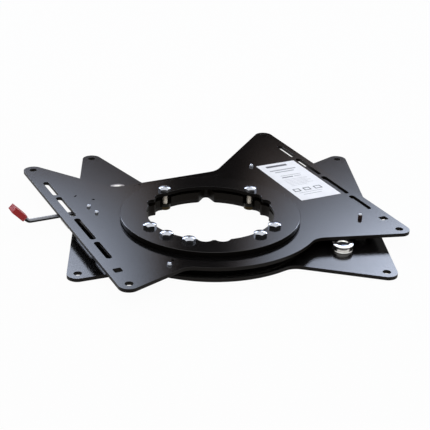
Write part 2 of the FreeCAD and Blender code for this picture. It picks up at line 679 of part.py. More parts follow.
def return_spring():
    """Torsion spring round the pivot bush: one leg in the latch plate, the other on the post."""
    centre = Vector(*PIVOT, 0)
    low = LATCH_TOP + COIL_CLEAR + WIRE_R
    high = SEAT_UNDER - COIL_CLEAR - WIRE_R
    latch_end = centre + polar(SPRING_LEG_AT, SPRING_LEG_ANGLE)
    post = Vector(*SPRING_POST, 0)
    across = (post - centre).normalize()
    beside = post + Vector(across.y, -across.x, 0) * (POST_R + WIRE_R + COIL_CLEAR)
    start = touch_angle(centre, latch_end, COIL_R, 1)
    finish = touch_angle(centre, beside, COIL_R, -1)
    turn = (finish - start) % 360 + 360
    coil_path = Part.makeHelix((high - low) * 360 / turn, high - low, COIL_R)
    coil_path.rotate(ORIGIN, Z, start)
    coil_path.translate(centre + Vector(0, 0, low))
    tangent = Vector(-math.sin(math.radians(start)), math.cos(math.radians(start)), 0)
    foot = centre + polar(COIL_R, start, low)
    section = Part.Wire([Part.makeCircle(WIRE_R, foot, tangent)])
    spring = Part.Wire(coil_path).makePipeShell([section], True, True)
    latch_low = Vector(latch_end.x, latch_end.y, low)
    spring = spring.fuse(wire_run(latch_low, foot))
    spring = spring.fuse(wire_run(latch_low, latch_low - Vector(0, 0, LATCH_T)))
    top = centre + polar(COIL_R, finish, high)
    leave = (beside + Vector(0, 0, high) - top).normalize()
    spring = spring.fuse(wire_run(top, beside + Vector(0, 0, high) + leave * LEG_OVERRUN))
    return spring.removeSplitter()


CATCH_PAD_R = FRONT_STUD[0] + STUD_TOP_R + CATCH_PAD_GAP
CATCH_OUTER_R = CATCH_PAD_R + CATCH_PAD_W


def catch_outline(inner, z, height, stop_inner):
    """A prong outside the front stud and an end stop past it, bent to the stud's path."""
    radius, angle = FRONT_STUD
    clear = STUD_NECK_R + JAW_GAP
    start = angle - math.degrees(CATCH_REACH / radius)
    stop = angle + math.degrees(clear / radius)
    end = stop + math.degrees(CATCH_STOP / radius)
    prong = sector((0, 0), CATCH_OUTER_R, start, end, z, height)
    prong = prong.cut(disc(inner, height, Vector(0, 0, z)))
    if stop_inner < inner:
        foot = sector((0, 0), inner + 1, stop, end, z, height)
        prong = prong.fuse(foot.cut(disc(stop_inner, height, Vector(0, 0, z)))).removeSplitter()
    return prong


def hold_down_catch():
    """Plate that slides into the front stud's groove in the driving position and stops the seat."""
    neck_side = FRONT_STUD[0] + STUD_NECK_R + JAW_GAP
    rear_path = REAR_STUD[0] + STUD_NECK_R + CATCH_INNER_GAP
    catch = catch_outline(neck_side, LATCH_UNDER, LATCH_T, rear_path)
    catch = round_upright(catch, CATCH_CORNER_R, lambda p: math.hypot(p.x, p.y) > CATCH_OUTER_R - SAME)
    at = Vector(*CATCH_SCREW, LATCH_UNDER)
    sink = Part.makeCone(CATCH_SCREW_HEAD_R, SCREW_R, CATCH_SCREW_HEAD_R - SCREW_R, at)
    return catch.cut(sink).cut(disc(SCREW_R + THREAD_GAP, LATCH_T, at))


def catch_spacer():
    spacer = catch_outline(CATCH_PAD_R, LATCH_TOP, SEAT_UNDER - LATCH_TOP, CATCH_PAD_R)
    spacer = round_upright(spacer, CATCH_CORNER_R, lambda p: math.hypot(p.x, p.y) > CATCH_OUTER_R - SAME)
    return spacer.cut(disc(SCREW_R + THREAD_GAP, PLATE_GAP, Vector(*CATCH_SCREW, LATCH_TOP)))


def catch_screw():
    head_r = CATCH_SCREW_HEAD_R - THREAD_GAP
    dome_foot = SEAT_TOP + CATCH_SCREW_RISE - SCREW_R
    screw = turned_profile([
        (0.0, LATCH_UNDER), (head_r, LATCH_UNDER),
        (SCREW_R, LATCH_UNDER + head_r - SCREW_R), (SCREW_R, dome_foot),
    ], Vector(*CATCH_SCREW, 0), domed=True)
    return screw.cut(hexagon(PIVOT_SOCKET_FLATS, SOCKET_DEPTH, Vector(*CATCH_SCREW, LATCH_UNDER)))


def label():
    return Part.makeBox(LABEL_W, LABEL_L, LABEL_T, Vector(LABEL_LEFT, LABEL_FRONT, SEAT_TOP))


# Write every piece

save("base_plate", base_plate())
save("threaded_bosses", *[threaded_boss(at) for at in bolt_points(0.0)])
save("hub_ring", hub_ring())
save("support_ring", support_ring())
save("lower_slide_ring", lower_slide_ring())
save("upper_slide_ring", upper_slide_ring())
save("clamp_ring", clamp_ring())
save("hub_bolts", *[hub_bolt(at, turn) for at, turn in zip(bolt_points(0.0), HEAD_TURNS)])
save("front_latch_stud", latch_stud(FRONT_STUD))
save("front_stud_screw", stud_screw(FRONT_STUD))
save("rear_latch_stud", latch_stud(REAR_STUD))
save("rear_stud_screw", stud_screw(REAR_STUD))
save("stop_block", stop_block())

save("seat_plate", on_seat(seat_plate()))
save("bearing_bush", on_seat(bearing_bush()))
save("press_nuts", *[on_seat(press_nut(x, y)) for x, y in NUT_PLACES])
save("pivot_bolt", on_seat(pivot_bolt()))
save("pivot_bush", on_seat(pivot_bush()))
save("spring_post", on_seat(stepped_pin(SPRING_POST, POST_R, LATCH_UNDER)))
save("stop_pin", on_seat(stepped_pin(STOP_PIN, STOP_PIN_R, SEAT_UNDER - STOP_PIN_REACH)))
save("spare_screw", on_seat(spare_screw()))
save("return_spring", on_seat(return_spring()))
save("hold_down_catch", on_seat(hold_down_catch()))
save("catch_spacer", on_seat(catch_spacer()))
save("catch_screw", on_seat(catch_screw()))
save("label", on_seat(label()))

save("latch_plate", on_seat(latch_plate()))
save("lever_rod", on_seat(lever_rod()))
save("lever_grip", on_seat(lever_grip()))
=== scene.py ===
# %% [markdown]
# # Dressing a swivel seat base
# The part is a low steel turntable that sits between a camper van's seat box and its seat: two
# black star-shaped plates, an open hub with a bolted clamp ring, a latch with a red grip, and
# bright studs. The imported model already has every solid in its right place, so this lesson only
# adds what a camera sees: softened edges, threads, printed film, and the finishes. We start by
# loading that model.

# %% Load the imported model
import bmesh
import bpy
import json
import math
from mathutils import Matrix, Vector


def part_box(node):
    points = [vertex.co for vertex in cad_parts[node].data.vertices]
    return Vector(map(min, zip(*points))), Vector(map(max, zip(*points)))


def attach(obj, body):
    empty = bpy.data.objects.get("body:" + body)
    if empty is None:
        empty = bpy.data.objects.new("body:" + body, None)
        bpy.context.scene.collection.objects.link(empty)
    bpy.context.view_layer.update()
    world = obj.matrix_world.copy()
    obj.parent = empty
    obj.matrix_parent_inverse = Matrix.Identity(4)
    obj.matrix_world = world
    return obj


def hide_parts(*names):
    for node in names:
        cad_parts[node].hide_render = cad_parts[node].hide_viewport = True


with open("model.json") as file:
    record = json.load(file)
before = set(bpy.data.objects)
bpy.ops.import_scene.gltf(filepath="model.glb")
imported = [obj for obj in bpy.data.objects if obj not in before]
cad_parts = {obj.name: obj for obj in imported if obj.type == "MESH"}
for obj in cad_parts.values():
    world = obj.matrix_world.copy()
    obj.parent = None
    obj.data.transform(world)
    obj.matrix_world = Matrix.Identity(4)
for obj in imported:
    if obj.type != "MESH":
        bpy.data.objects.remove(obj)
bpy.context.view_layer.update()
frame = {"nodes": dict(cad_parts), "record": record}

nodes = frame["nodes"]
print("CAD nodes:", len(nodes))

# %% [markdown]
# ## The camera
# The photograph was taken with a long lens from the front, a little left of the middle and about
# 25 degrees above the plates, with the camera rolled slightly. A camera looks along its own -Z,
# so we build its three axes from two angles and the roll, and put them in a matrix as columns.
# Setting the matrix is safer than aiming with constraints, because nothing else can move it.

# %% Place the camera
CAMERA_AT = Vector((-0.0913, -1.3422, 0.6446))
CAMERA_AZIMUTH = math.radians(-4.170)
CAMERA_ELEVATION = math.radians(24.790)
CAMERA_ROLL = math.radians(1.678)
SENSOR_MM, LENS_MM = 36, 88.70
NEAREST_SEEN, FARTHEST_SEEN = 0.05, 50

back = Vector((math.sin(CAMERA_AZIMUTH) * math.cos(CAMERA_ELEVATION),
               -math.cos(CAMERA_AZIMUTH) * math.cos(CAMERA_ELEVATION),
               math.sin(CAMERA_ELEVATION)))
level_right = Vector((math.cos(CAMERA_AZIMUTH), math.sin(CAMERA_AZIMUTH), 0))
level_up = back.cross(level_right)
right = level_right * math.cos(CAMERA_ROLL) + level_up * math.sin(CAMERA_ROLL)
up = level_up * math.cos(CAMERA_ROLL) - level_right * math.sin(CAMERA_ROLL)

camera_data = bpy.data.cameras.new("camera")
camera_data.sensor_width = SENSOR_MM
camera_data.lens = LENS_MM
camera_data.clip_start = NEAREST_SEEN
camera_data.clip_end = FARTHEST_SEEN
camera = bpy.data.objects.new("camera", camera_data)
camera.matrix_world = Matrix((
    (right.x, up.x, back.x, CAMERA_AT.x),
    (right.y, up.y, back.y, CAMERA_AT.y),
    (right.z, up.z, back.z, CAMERA_AT.z),
    (0, 0, 0, 1)))
bpy.context.scene.collection.objects.link(camera)
bpy.context.scene.camera = camera
print("camera at", [round(v, 3) for v in camera.matrix_world.translation])

# %% [markdown]
# ## Small helpers for node materials
# Every finish below is a short chain of shader nodes. A few helpers keep the cells readable: one
# adds a node and sets its inputs by name, one joins two sockets, and the others make the steps
# that nearly every finish has: a noise, a narrower range, a bump, a mix of two colours or of two
# whole shaders. Patterns are read from Object coordinates, which stick to the piece when it
# turns.

# %% Helpers for materials
MIX_FIRST, MIX_SECOND, MIX_RESULT = 6, 7, 2


def new_material(name):
    material = bpy.data.materials.new(name)
    material.use_nodes = True
    shader = material.node_tree.nodes["Principled BSDF"]
    return material, material.node_tree, shader


def add(tree, kind, **inputs):
    """Adds a node; underscores in an input's name stand for spaces."""
    node = tree.nodes.new(kind)
    for name, value in inputs.items():
        node.inputs[name.replace("_", " ")].default_value = value
    return node


def join(tree, source, output, target, socket):
    tree.links.new(source.outputs[output], target.inputs[socket])


def object_noise(tree, scale, detail):
    """Noise that sticks to the piece."""
    place = tree.nodes.new("ShaderNodeTexCoord")
    noise = add(tree, "ShaderNodeTexNoise", Scale=scale, Detail=detail)
    join(tree, place, "Object", noise, "Vector")
    return noise


def spread(tree, source, low, high):
    """Maps a pattern's 0 to 1 onto a narrower range."""
    remap = add(tree, "ShaderNodeMapRange", To_Min=low, To_Max=high)
    join(tree, source, "Fac", remap, "Value")
    return remap


def roughen(tree, shader, height, distance, strength):
    bump = add(tree, "ShaderNodeBump", Strength=strength, Distance=distance)
    join(tree, height, "Fac", bump, "Height")
    join(tree, bump, "Normal", shader, "Normal")


def mix_colours(tree, factor, output, first, second):
    mix = tree.nodes.new("ShaderNodeMix")
    mix.data_type = "RGBA"
    mix.inputs[MIX_FIRST].default_value = (*first, 1)
    mix.inputs[MIX_SECOND].default_value = (*second, 1)
    join(tree, factor, output, mix, 0)
    return mix


def mix_shaders(tree, factor, first, second):
    """Sends a mix of two shaders to the surface: the first at 0, the second at 1."""
    mix = tree.nodes.new("ShaderNodeMixShader")
    join(tree, factor, "Value", mix, 0)
    join(tree, first, 0, mix, 1)
    join(tree, second, 0, mix, 2)
    join(tree, mix, "Shader", tree.nodes["Material Output"], "Surface")


def vary(tree, shader, pattern, colours, roughnesses):
    """Lets one pattern move a shader's colour and roughness, each between two values."""
    tint = mix_colours(tree, pattern, "Fac", *colours)
    join(tree, tint, MIX_RESULT, shader, "Base Color")
    join(tree, spread(tree, pattern, *roughnesses), "Result", shader, "Roughness")


print("helpers ready")

# %% [markdown]
# ## Black powder coat
# The plates and the clamp ring are laser-cut steel with a satin black powder coat. The coat melts
# into a skin with a very shallow orange-peel swell, so a light in it is blurred but still has a
# shape. A fine noise gives the swell through a Bump node, and a slow noise moves the roughness a
# little, the way handling does. The colour itself is nearly black: the greys in the photograph
# are the studio, mirrored in the coat. On cut edges and inside the hub the coat is thin and dull,
# so those get a rougher skin with a low specular level, or else the pale floor would light them
# up.

# %% The powder coat
PEEL_SCALE, PEEL_DEPTH = 2400.0, 0.000015
EDGE_ROUGHNESS, EDGE_PEEL = 0.42, 0.2


def powder_coat(name, colour, roughness, swell):
    material, tree, shader = new_material(name)
    vary(tree, shader, object_noise(tree, 14.0, 4.0),
         ([c * 0.8 for c in colour], [c * 1.25 for c in colour]),
         (roughness - 0.02, roughness + 0.02))
    roughen(tree, shader, object_noise(tree, PEEL_SCALE, 0.0), PEEL_DEPTH, swell)
    return material


def cut_edge_coat(name, colour, gloss):
    """The thin, dull skin on a laser-cut edge; its gloss is the shader's own specular level."""
    material = powder_coat(name, colour, EDGE_ROUGHNESS, EDGE_PEEL)
    shader = material.node_tree.nodes["Principled BSDF"]
    shader.inputs["Specular IOR Level"].default_value = gloss
    return material


plate_coat = powder_coat("black powder coat", (0.0030, 0.0028, 0.0029), 0.10, 1.0)
base_coat = powder_coat("black coat of the base plate", (0.0030, 0.0028, 0.0029), 0.17, 1.0)
ring_coat = powder_coat("black coat of the clamp ring", (0.0030, 0.0028, 0.0028), 0.12, 1.0)
# The edge coat also lies on the rod's under faces, as painted shade.
edge_and_rod_shade_coat = cut_edge_coat("black coat on cut edges and painted shade under the rod", (0.0055, 0.0042, 0.0034), 0.10)
ring_edge_coat = cut_edge_coat("black coat on the ring's edges", (0.0032, 0.0026, 0.0023), 0.03)
hub_coat = cut_edge_coat("brown-black coat of the hub", (0.0064, 0.0050, 0.0038), 0.06)
print("powder coats:", plate_coat.name, "and", ring_coat.name)

# %% [markdown]
# ## Zinc plating
# The bolts, studs and inserts are steel with a zinc plating: a metal with a faintly blue grey and
# low roughness. The upright sides of the bolt heads and of the catch's screw take a rougher zinc
# that is painted much darker, a painted shade for the black plates they face; on the screw it is a
# dark brown. Turned faces carry fine rings from the lathe. A wave texture in rings about a stud's
# own axis makes those, so the Mapping node moves the pattern's centre to that axis. The rod isn't
# plated: it is drawn steel, a plain grey skin.

# %% The zinc finishes
GRAIN_DEPTH = 0.00001


def plated(name, colour, roughness):
    material, tree, shader = new_material(name)
    shader.inputs["Metallic"].default_value = 1.0
    vary(tree, shader, object_noise(tree, 160.0, 4.0), ([c * 0.88 for c in colour], colour),
         (roughness - 0.05, roughness + 0.08))
    roughen(tree, shader, object_noise(tree, 1500.0, 2.0), GRAIN_DEPTH, 0.3)
    return material


def turned(name, colour, roughness, centre):
    """Plating over lathe marks: rings about an upright axis through the centre."""
    material, tree, shader = new_material(name)
    shader.inputs["Metallic"].default_value = 1.0
    place = tree.nodes.new("ShaderNodeTexCoord")
    mapping = add(tree, "ShaderNodeMapping", Location=(-centre[0], -centre[1], 0))
    wave = add(tree, "ShaderNodeTexWave", Scale=900.0, Distortion=0.6, Detail=1.0)
    wave.wave_type = "RINGS"
    wave.rings_direction = "Z"
    join(tree, place, "Object", mapping, "Vector")
    join(tree, mapping, "Vector", wave, "Vector")
    vary(tree, shader, wave, ([c * 0.85 for c in colour], colour),
         (roughness - 0.04, roughness + 0.06))
    roughen(tree, shader, wave, GRAIN_DEPTH, 0.25)
    return material


def middle(node):
    low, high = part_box(node)
    return [(low[i] + high[i]) / 2 for i in range(3)]


STUD_ZINC = (0.82, 0.81, 0.79)
bright_zinc = plated("bright zinc", (0.42, 0.44, 0.48), 0.20)
# Painted shade: the bolt heads' upright sides get this much darker zinc.
painted_shade_side_zinc = plated("zinc with painted shade, bolts' sides", (0.07, 0.07, 0.075), 0.30)
# Painted shade: the catch screw's upright side gets this dark brown zinc.
painted_shade_brown_zinc = plated("dark brown zinc with painted shade", (0.075, 0.045, 0.040), 0.34)
shank_zinc = plated("zinc on the threads", (0.62, 0.58, 0.52), 0.34)
sheet_zinc = plated("zinc plated sheet", (0.62, 0.62, 0.60), 0.34)
rod_steel = powder_coat("drawn rod", (0.26, 0.27, 0.30), 0.28, 0.3)
spring_steel = plated("spring wire", (0.30, 0.30, 0.31), 0.30)
front_axis = middle("front_latch_stud")
front_zinc = turned("turned zinc, front stud", STUD_ZINC, 0.13, front_axis)
rear_zinc = turned("turned zinc, rear stud", STUD_ZINC, 0.13, middle("rear_latch_stud"))
print("zinc finishes ready; front stud's axis at", [round(v, 4) for v in front_axis[:2]])

# %% [markdown]
# ## The bosses' two finishes
# The threaded bosses went through the powder coat with the base plate, so the part that stands
# above the plate is black. Inside the plate they kept their zinc, now a dark olive brown, which
# shows as a rim in the opening. Two shaders are mixed by the height, read from Object
# coordinates.

# %% The bosses' finish
def boss_finish(name, level):
    material, tree, shader = new_material(name)
    shader.inputs["Metallic"].default_value = 1.0
    shader.inputs["Roughness"].default_value = 0.34
    tint = mix_colours(tree, object_noise(tree, 220.0, 4.0), "Fac",
                       (0.020, 0.014, 0.006), (0.036, 0.027, 0.013))
    join(tree, tint, MIX_RESULT, shader, "Base Color")
    coat = add(tree, "ShaderNodeBsdfPrincipled", Base_Color=(0.005, 0.0045, 0.0035, 1),
               Roughness=0.34, Specular_IOR_Level=0.10)
    place = tree.nodes.new("ShaderNodeTexCoord")
    axes = tree.nodes.new("ShaderNodeSeparateXYZ")
    above = tree.nodes.new("ShaderNodeMath")
    above.operation = "GREATER_THAN"
    above.inputs[1].default_value = level
    join(tree, place, "Object", axes, "Vector")
    join(tree, axes, "Z", above, 0)
    mix_shaders(tree, above, shader, coat)
    return material


base_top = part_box("base_plate")[1].z
boss_coat = boss_finish("bosses, coated above the plate", base_top)
print("bosses are black above", round(base_top * 1000, 2), "mm")

# %% [markdown]
# ## Plastics and film
# The grip is moulded from red plastic with a fine spark-eroded grain, so its highlights are soft.
# The slide rings and bushes are plain bearing plastic. The label is a white printed film.

# %% The plastics
def moulded(name, colour, roughness, grain, depth):
    material, tree, shader = new_material(name)
    vary(tree, shader, object_noise(tree, 60.0, 3.0),
         ([c * 0.88 for c in colour], [min(1, c * 1.08) for c in colour]),
         (roughness - 0.04, roughness + 0.04))
    roughen(tree, shader, object_noise(tree, grain, 2.0), depth, 0.4)
    return material


red_plastic = moulded("red moulded plastic", (0.30, 0.005, 0.005), 0.38, 1400.0, 0.00002)
red_shader = red_plastic.node_tree.nodes["Principled BSDF"]
red_shader.inputs["Specular IOR Level"].default_value = 0.35
dark_plastic = moulded("dark bearing plastic", (0.012, 0.012, 0.013), 0.45, 900.0, 0.00003)
pale_plastic = moulded("natural bearing plastic", (0.55, 0.53, 0.48), 0.5, 900.0, 0.00003)
film = moulded("white film", (0.80, 0.80, 0.81), 0.38, 600.0, 0.00002)
pale_ink = moulded("pale grey print", (0.30, 0.30, 0.31), 0.42, 600.0, 0.00002)
dark_ink = moulded("dark grey print", (0.035, 0.035, 0.04), 0.42, 600.0, 0.00002)
print("plastics ready")

# %% [markdown]
# ## Soft edges
# A laser-cut plate has a small round on every edge once it is coated, and that round is what
# catches the thin bright lines in the photograph. The CAD meshes are loose triangles with knife
# edges, so we copy each into a bmesh, merge its corners, dissolve the flat triangles into whole
# faces and bevel the sharp edges. A Weighted Normal modifier then keeps the big faces flat while
# the rounds shade smoothly. The copy replaces the CAD node in the picture and rides on the same
# body. Where a piece has two finishes, upright walls take the second one, told by how little
# their normal points up or down.

# %% Helpers: a copy of a node with rounded edges
bodies = frame["record"]["behaviour"]["bodies"]
body_of = {node: body for body, members in bodies.items() for node in members}
MERGE_DISTANCE = 2e-6
FLAT_ANGLE = math.radians(0.6)
FLATTEN_FULLY, FLATTEN_EVENLY = 100, 50


def merged_copy(node):
    bm = bmesh.new()
    bm.from_mesh(nodes[node].data)
    bmesh.ops.remove_doubles(bm, verts=bm.verts, dist=MERGE_DISTANCE)
    bmesh.ops.dissolve_limit(bm, angle_limit=FLAT_ANGLE, verts=bm.verts, edges=bm.edges,
                             delimit=set())
    return bm


def sharp_edges(bm, degrees):
    return [edge for edge in bm.edges
            if edge.is_manifold and edge.calc_face_angle(0) > math.radians(degrees)]


def round_off(bm, edges, millimetres, segments=2):
    bmesh.ops.bevel(bm, geom=edges, offset=millimetres / 1000, offset_type="OFFSET",
                    segments=segments, profile=0.5, affect="EDGES", clamp_overlap=True, material=-1)


def finish_mesh(bm, name, materials, body, smooth=True, steep=0):
    """Makes a bmesh an object on its body; walls flatter than steep take the second material."""
    mesh = bpy.data.meshes.new(name)
    for face in bm.faces:
        face.smooth = smooth
        if steep:
            face.material_index = 1 if abs(face.normal.z) < steep else 0
    bm.to_mesh(mesh)
    bm.free()
    for material in materials:
        mesh.materials.append(material)
    piece = bpy.data.objects.new(name, mesh)
    bpy.context.scene.collection.objects.link(piece)
    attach(piece, body)
    return piece


def stand_for(piece, node, weight):
    """Hides a CAD node behind its dressed piece, whose large faces shade flat."""
    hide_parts(node)
    keep_flat = piece.modifiers.new("keep flats flat", "WEIGHTED_NORMAL")
    keep_flat.mode = "FACE_AREA"
    keep_flat.weight = weight
    print(node, "dressed:", len(piece.data.polygons), "faces")


def softened(node, round_mm, materials, steep=0):
    """A node's rounded copy, with one material or a second one for its walls."""
    bm = merged_copy(node)
    round_off(bm, sharp_edges(bm, 28), round_mm)
    piece = finish_mesh(bm, node + "_soft", materials, body_of[node], steep=steep)
    stand_for(piece, node, FLATTEN_FULLY)
    return piece


# %% [markdown]
# ## Coated steel
# The two star plates get a wide round and the clamp ring a narrow one, because its rim is
# chamfered already. That chamfer is as dull as the ring's wall, so the ring's limit for walls is
# higher. The distance ring and the hub ring stay as the CAD has them, because only their plain
# walls show.

# %% Plates and rings
UPRIGHT, UPRIGHT_OR_CHAMFER = 0.3, 0.8
softened("base_plate", 0.4, (base_coat, edge_and_rod_shade_coat), UPRIGHT)
softened("seat_plate", 0.4, (plate_coat, edge_and_rod_shade_coat), UPRIGHT)
softened("clamp_ring", 0.25, (ring_coat, ring_edge_coat), UPRIGHT_OR_CHAMFER)
softened("stop_block", 0.5, (plate_coat, edge_and_rod_shade_coat), UPRIGHT)

# %% [markdown]
# ## The bolts' heads
# The CAD bolts are one solid each: a domed hexagon head on a plain shank. We keep the head's own
# shape and cut the shank away with bisect_plane just under it, close the cut, and round the
# forged edges. The tops are bright, and the upright sides take a much darker zinc, a painted shade
# for the black plates they face.

# %% Heads of the hub bolts
clamp_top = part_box("clamp_ring")[1].z
CUT_DISTANCE = 1e-6
UNDER_HEAD = 0.0001
# Faces more upright than this take the darker zinc, a painted shade.
PAINTED_SHADE_SIDE = 0.5


def bolt_heads(node, level, round_mm):
    bm = merged_copy(node)
    bmesh.ops.bisect_plane(bm, geom=bm.verts[:] + bm.edges[:] + bm.faces[:], dist=CUT_DISTANCE,
                           plane_co=(0, 0, level), plane_no=(0, 0, 1), clear_inner=True)
    bmesh.ops.holes_fill(bm, edges=bm.edges, sides=0)
    round_off(bm, sharp_edges(bm, 20), round_mm)
    piece = finish_mesh(bm, "hub_bolt_heads", (bright_zinc, painted_shade_side_zinc), body_of[node],
                        steep=PAINTED_SHADE_SIDE)
    stand_for(piece, node, FLATTEN_FULLY)


bolt_heads("hub_bolts", clamp_top - UNDER_HEAD, 0.25)

# %% [markdown]
# ## The bolts' threads
# Through the open hub two shanks are seen from the side, and a plain cylinder there would look
# like a dowel. A thread is one small V profile carried round and up: spin turns it in steps and
# dvec lifts it a little at each one, by one pitch in a whole turn. Where a turn ends the next
# begins, so merging the doubles joins them, and holes_fill closes both ends. M10 has a pitch of
# 1.5 mm. Each bolt's place comes from the loose parts of the CAD node, found by walking along the
# edges from one corner.

# %% Threads of the hub bolts
THREAD_CREST, THREAD_PITCH = 0.0049, 0.0015
THREAD_STEPS = 24
THREAD_INSET = 0.0002


def add_thread(bm, x, y, low, high):
    pitch = THREAD_PITCH
    root = THREAD_CREST - 0.5 * pitch
    points = ((root, 0.0), (THREAD_CREST, 0.42 * pitch), (THREAD_CREST, 0.58 * pitch), (root, pitch))
    verts = [bm.verts.new((x + radius, y, low + rise)) for radius, rise in points]
    edges = [bm.edges.new(pair) for pair in zip(verts, verts[1:])]
    count = round((high - low - pitch) / pitch * THREAD_STEPS)
    bmesh.ops.spin(bm, geom=verts + edges, cent=(x, y, 0), axis=(0, 0, 1), steps=count,
                   dvec=(0, 0, pitch / THREAD_STEPS), angle=count * 2 * math.pi / THREAD_STEPS,
                   use_merge=False)


def bolt_places(node):
    """The upright axis and the lower end of each separate solid in a node."""
    bm = merged_copy(node)
    left, places = set(bm.verts), []
    while left:
        heap, island = [left.pop()], []
        while heap:
            vert = heap.pop()
            island.append(vert.co.copy())
            near = {edge.other_vert(vert) for edge in vert.link_edges} & left
            left -= near
            heap.extend(near)
        low = [min(point[i] for point in island) for i in range(3)]
        high = [max(point[i] for point in island) for i in range(3)]
        places.append(((low[0] + high[0]) / 2, (low[1] + high[1]) / 2, low[2]))
    bm.free()
    return sorted(places)


bolts = bolt_places("hub_bolts")
bm = bmesh.new()
for x, y, low in bolts:
    add_thread(bm, x, y, low + THREAD_INSET, clamp_top - THREAD_INSET)
bmesh.ops.remove_doubles(bm, verts=bm.verts, dist=CUT_DISTANCE)
bmesh.ops.holes_fill(bm, edges=[edge for edge in bm.edges if edge.is_boundary], sides=0)
bmesh.ops.recalc_face_normals(bm, faces=bm.faces)
threads = finish_mesh(bm, "hub_bolt_threads", [shank_zinc], body_of["hub_bolts"], smooth=False)
print(len(bolts), "bolts,", len(threads.data.polygons), "faces in the threads")

# %% [markdown]
# ## Small steel pieces
# The studs, the screws' ends and the bosses are turned or forged, so each gets a small round too,
# from the same helper. The catch's screw has a bright end, and its upright side takes a dark brown
# zinc as painted shade. The rod's faces are sorted once more by which way they look: those that
# look up keep the grey steel, and those that look down take the near-black edge coat, a painted
# shade.

# %% Studs, bosses, screw ends and the rod
LOOKS_UP = 0.2
softened("front_latch_stud", 0.25, [front_zinc])
softened("rear_latch_stud", 0.25, [rear_zinc])
softened("threaded_bosses", 0.3, [boss_coat])
for node in ("pivot_bolt", "spring_post", "stop_pin", "spare_screw"):
    softened(node, 0.15, [bright_zinc])
# The screw's upright side takes the dark brown zinc, a painted shade.
softened("catch_screw", 0.15, (bright_zinc, painted_shade_brown_zinc), UPRIGHT)
rod = softened("lever_rod", 0.3, (rod_steel, edge_and_rod_shade_coat))
# Faces that look down take the near-black edge coat: painted shade under the rod.
for polygon in rod.data.polygons:
    polygon.material_index = 0 if polygon.normal.z >= LOOKS_UP else 1

# %% [markdown]
# ## The red grip
# The grip is a small moulded block pushed onto the rod's raised end. Its edges are crisp, with
# only the round that a mould leaves, and the heel towards the rod has its two corners taken off.
# A cube scaled to the block's size gets the wide bevel on the two heel edges first and the fine
# one on all others after, and then a matrix made from the rod's slope puts it in place.

# %% The grip
SEAT_TURN = math.radians(22.5)
ROD_RISE = math.radians(47.0)
GRIP_HEEL = Vector((-0.258065, 0.005134, 0.016651))
GRIP_SIZE = (0.0245, 0.018, 0.009)
HEEL_ROUND_MM, MOULD_ROUND_MM = 5.5, 0.5
TINY = 1e-6


def crisp_grip(size, heel, turn, rise):
    bm = bmesh.new()
    bmesh.ops.create_cube(bm, size=1.0)
    bmesh.ops.translate(bm, vec=(0.5, 0, 0), verts=bm.verts)
    bmesh.ops.scale(bm, vec=size, verts=bm.verts)
    heel_edges = [edge for edge in bm.edges if all(vert.co.x < TINY for vert in edge.verts)
                  and abs(edge.verts[0].co.z - edge.verts[1].co.z) > TINY]
    round_off(bm, heel_edges, HEEL_ROUND_MM, segments=4)
    round_off(bm, sharp_edges(bm, 40), MOULD_ROUND_MM)
    along = Vector((-math.cos(rise) * math.cos(turn), -math.cos(rise) * math.sin(turn),
                    math.sin(rise)))
    across = Vector((-math.sin(turn), math.cos(turn), 0))
    upward = along.cross(across)
    place = Matrix((along, across, upward)).transposed().to_4x4()
    place.translation = heel
    bmesh.ops.transform(bm, matrix=place, verts=bm.verts)
    bmesh.ops.recalc_face_normals(bm, faces=bm.faces)
    return bm


grip = finish_mesh(crisp_grip(GRIP_SIZE, GRIP_HEEL, SEAT_TURN, ROD_RISE), "lever_grip_moulded",
                   [red_plastic], "lever")
stand_for(grip, "lever_grip", FLATTEN_EVENLY)

# %% [markdown]
# ## The latch plate
# The hook's back lies close under the seat plate's left edge. On the real object nothing shows
# there, so the hook's outer wall is cut a little further in, parallel to that edge, before it is
# softened.

# %% The latch plate, trimmed behind the edge
HOOK_BACK = 0.1877
edge_out = Vector((-math.cos(SEAT_TURN), -math.sin(SEAT_TURN), 0))


def trimmed_latch(node, reach, round_mm):
    bm = merged_copy(node)
    bmesh.ops.bisect_plane(bm, geom=bm.verts[:] + bm.edges[:] + bm.faces[:], dist=CUT_DISTANCE,
                           plane_co=edge_out * reach, plane_no=edge_out, clear_outer=True)
    bmesh.ops.holes_fill(bm, edges=[edge for edge in bm.edges if edge.is_boundary], sides=0)
    bmesh.ops.recalc_face_normals(bm, faces=bm.faces)
    round_off(bm, sharp_edges(bm, 28), round_mm)
    piece = finish_mesh(bm, node + "_soft", [sheet_zinc], body_of[node])
    stand_for(piece, node, FLATTEN_EVENLY)


trimmed_latch("latch_plate", HOOK_BACK, 0.3)

# %% [markdown]
# ## The label's print
# The film carries rows of grey print. Ours says nothing: plain bars stand for a heading and lines
# of text, and three plain frames for the row of boxes at its foot. Each bar is a closed box whose
# middle lies level with the film's face, so it stands a few hundredths of a millimetre proud. The
# bars are laid out in millimetres from the film's corner, then turned with the seat and scaled to
# metres. Each row below is left, right, low, high and the ink: 0 for pale grey, 1 for dark.

# %% Bars and frames on the film
FILM_CORNER = (146.5, -2.5, 21.2)
PRINT_DEPTH = 0.08
FRAME_LINE = 1.7
DARK = 1
BARS = ((12, 48, 127.5, 133.5, 1), (10, 55, 112.6, 116.0, 0), (14.5, 48, 105.4, 108.2, 0),
        (16, 51, 91.0, 92.2, 0), (15, 34, 84.0, 86.2, 1), (36, 48, 84.4, 85.8, 0),
        (13, 54, 75.6, 76.2, 0), (13, 50, 71.0, 71.6, 0), (13, 54, 66.4, 67.0, 0),
        (13, 47, 61.8, 62.4, 0), (13, 54, 57.2, 57.8, 0), (13, 40, 52.6, 53.2, 0),
        (10, 50, 24.2, 25.2, 0), (14, 45, 17.4, 18.6, 0))
FRAMES = ((7, 18, 30.5, 40.5), (24, 35, 30.5, 40.5), (42, 54, 30.5, 40.5))


